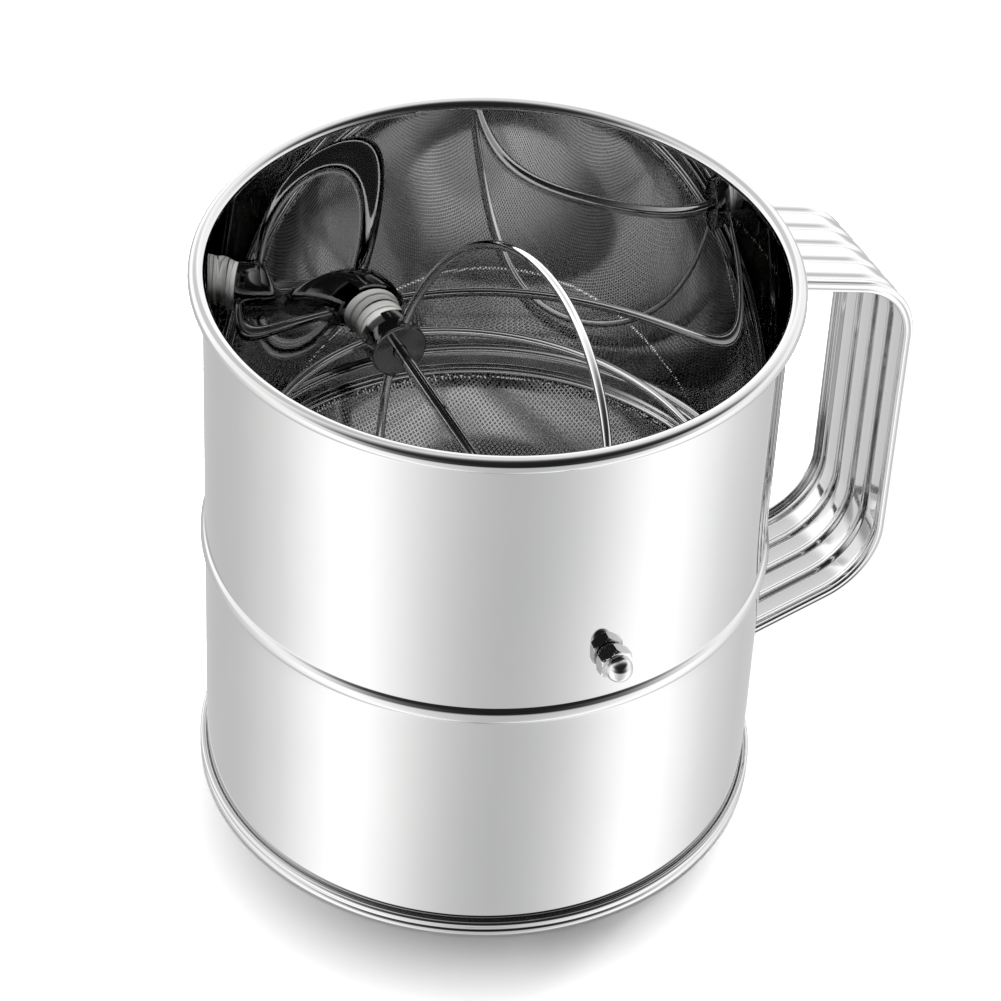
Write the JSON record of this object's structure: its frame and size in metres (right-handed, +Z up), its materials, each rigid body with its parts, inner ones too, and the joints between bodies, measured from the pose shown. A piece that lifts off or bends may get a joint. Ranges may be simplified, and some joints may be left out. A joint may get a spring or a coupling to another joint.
{
  "type": "flour sifter",
  "caption": "Polished steel rotary flour sifter: open round body, ribbed strap handle, side crank turning a bowed-wire agitator over a bowl-shaped woven screen.",
  "frame": {"origin": "on the axis of the round body, in the plane it stands on", "axes": "+Z up through the mouth, +X towards the strap handle, +Y along the crank shaft towards the crank"},
  "size_m": [0.2019, 0.2204, 0.171],
  "materials": {
    "shell_steel": "mirror-polished stainless steel sheet",
    "ring_steel": "bright stainless steel",
    "mesh_steel": "woven stainless steel wire",
    "handle_steel": "polished stainless steel strip",
    "weld_steel": "cleaned weld metal",
    "nylon": "natural white nylon",
    "rod_steel": "bright drawn stainless steel rod",
    "hub_steel": "bright stamped steel",
    "wire_steel": "bright stainless steel wire",
    "nut_steel": "bright turned steel",
    "knob_plastic": "black moulded plastic"
  },
  "bodies": {
    "housing": {"body_shell": "shell_steel", "snap_ring": "ring_steel", "screen_frame": "ring_steel", "screen_mesh": "mesh_steel", "handle_strap": "handle_steel", "handle_upper_weld": "weld_steel", "handle_lower_weld": "weld_steel", "far_bush": "nylon", "near_bush": "nylon"},
    "crank": {"crank_rod": "rod_steel", "far_hub": "hub_steel", "near_hub": "hub_steel", "agitator_wire_1": "wire_steel", "agitator_wire_2": "wire_steel", "agitator_wire_3": "wire_steel", "agitator_wire_4": "wire_steel", "acorn_nut": "nut_steel", "crank_washer": "nylon", "knob_washer": "nut_steel", "knob_cap": "nut_steel"},
    "knob": {"crank_knob": "knob_plastic"}
  },
  "joints": [
    {"name": "crank_spin", "type": "hinge", "parent": "housing", "child": "crank", "pos_m": [0, 0, 0.0985], "axis": [0, 1, 0], "continuous": true},
    {"name": "knob_spin", "type": "hinge", "parent": "crank", "child": "knob", "pos_m": [0, 0.1143, 0.0435], "axis": [0, 1, 0], "continuous": true}
  ]
}
